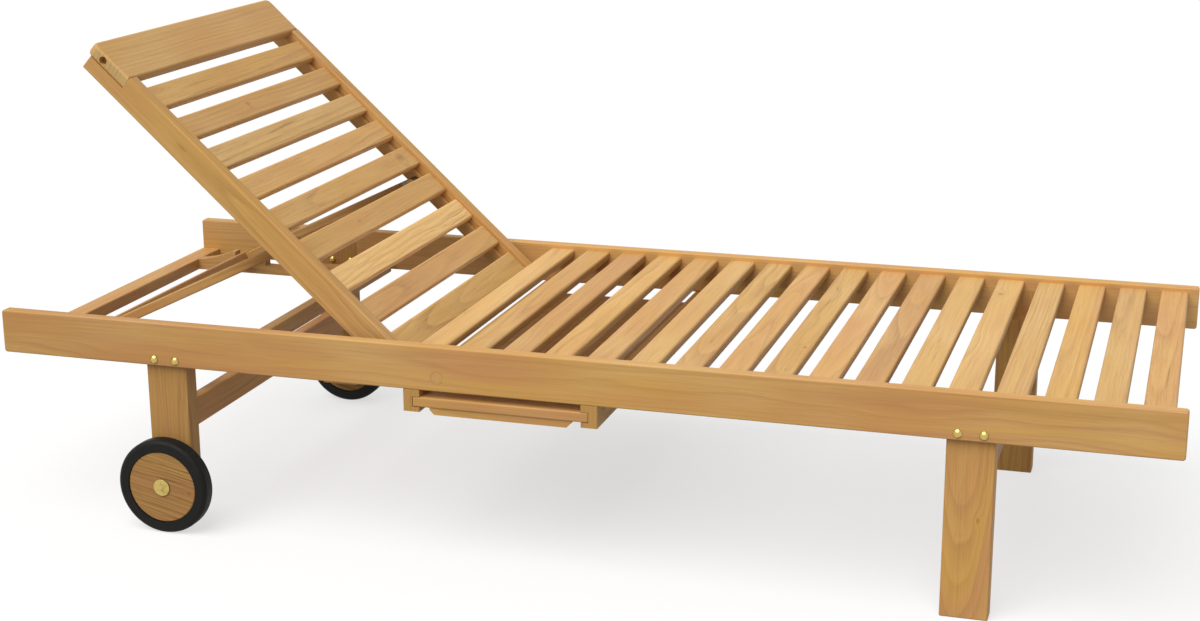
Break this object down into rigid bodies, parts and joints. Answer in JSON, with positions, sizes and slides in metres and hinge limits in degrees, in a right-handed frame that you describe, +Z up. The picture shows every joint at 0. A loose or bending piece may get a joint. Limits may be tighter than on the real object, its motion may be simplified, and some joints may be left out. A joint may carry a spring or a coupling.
{
  "type": "sun lounger",
  "caption": "Slatted teak sun lounger with a raising backrest held by a notched prop, wheels at the head end and a pull-out side tray.",
  "frame": {"origin": "centre of the bounding box at floor level", "axes": "+X from the head end to the foot end along the side rails, +Y to the left side of a person lying on it, +Z up"},
  "size_m": [2, 0.8136, 0.8392],
  "materials": {
    "teak": "sanded, lightly oiled teak",
    "brass": "polished brass",
    "steel": "plain zinc-plated steel",
    "tyre": "matt black rubber"
  },
  "bodies": {
    "frame": {"back_support_rail": "teak", "front_cross_rail": "teak", "front_leg_left": "teak", "front_leg_right": "teak", "head_cross_bar": "teak", "hinge_bolts": "steel", "leg_bolts": "brass", "rack_left": "teak", "rack_right": "teak", "rail_plugs": "teak", "rear_leg_left": "teak", "rear_leg_right": "teak", "rear_stretcher": "teak", "seat_slat_01": "teak", "seat_slat_02": "teak", "seat_slat_03": "teak", "seat_slat_04": "teak", "seat_slat_05": "teak", "seat_slat_06": "teak", "seat_slat_07": "teak", "seat_slat_08": "teak", "seat_slat_09": "teak", "seat_slat_10": "teak", "seat_slat_11": "teak", "seat_slat_12": "teak", "seat_slat_13": "teak", "seat_slat_14": "teak", "seat_slat_15": "teak", "seat_slat_16": "teak", "seat_slat_17": "teak", "side_rail_left": "teak", "side_rail_right": "teak", "tray_runners": "teak", "wheel_axle_bolts": "brass"},
    "backrest": {"backrest_ledgers": "teak", "backrest_rail_left": "teak", "backrest_rail_right": "teak", "backrest_slat_01": "teak", "backrest_slat_02": "teak", "backrest_slat_03": "teak", "backrest_slat_04": "teak", "backrest_slat_05": "teak", "backrest_slat_06": "teak", "backrest_slat_07": "teak", "backrest_slat_08": "teak", "backrest_slat_09": "teak", "backrest_top_board": "teak", "prop_pivot_bolts": "steel", "top_board_screws": "steel"},
    "prop": {"prop_arm_left": "teak", "prop_arm_right": "teak", "prop_crossbar": "teak"},
    "wheel_right": {"tyre_right": "tyre", "wheel_disc_right": "teak"},
    "wheel_left": {"tyre_left": "tyre", "wheel_disc_left": "teak"},
    "tray": {"tray_batten": "teak", "tray_board": "teak"}
  },
  "joints": [
    {"name": "backrest_tilt", "type": "hinge", "parent": "frame", "child": "backrest", "pos_m": [-0.308, 0, 0.338], "axis": [0, 1, 0], "range_deg": [-42.5, 13.9]},
    {"name": "prop_swing", "type": "hinge", "parent": "backrest", "child": "prop", "pos_m": [-0.48952, 0, 0.49959], "axis": [0, 1, 0], "range_deg": [-22.4, 68.28]},
    {"name": "wheel_right_spin", "type": "hinge", "parent": "frame", "child": "wheel_right", "pos_m": [-0.692, -0.3875, 0.0845], "axis": [0, 1, 0], "continuous": true},
    {"name": "wheel_left_spin", "type": "hinge", "parent": "frame", "child": "wheel_left", "pos_m": [-0.692, 0.3875, 0.0845], "axis": [0, 1, 0], "continuous": true},
    {"name": "tray_slide", "type": "slide", "parent": "frame", "child": "tray", "axis": [0, -1, 0], "range_m": [0, 0.35]}
  ],
  "couplings": [
    {"joint": "prop_swing", "follows": "backrest_tilt", "ratio": -1.6042}
  ]
}
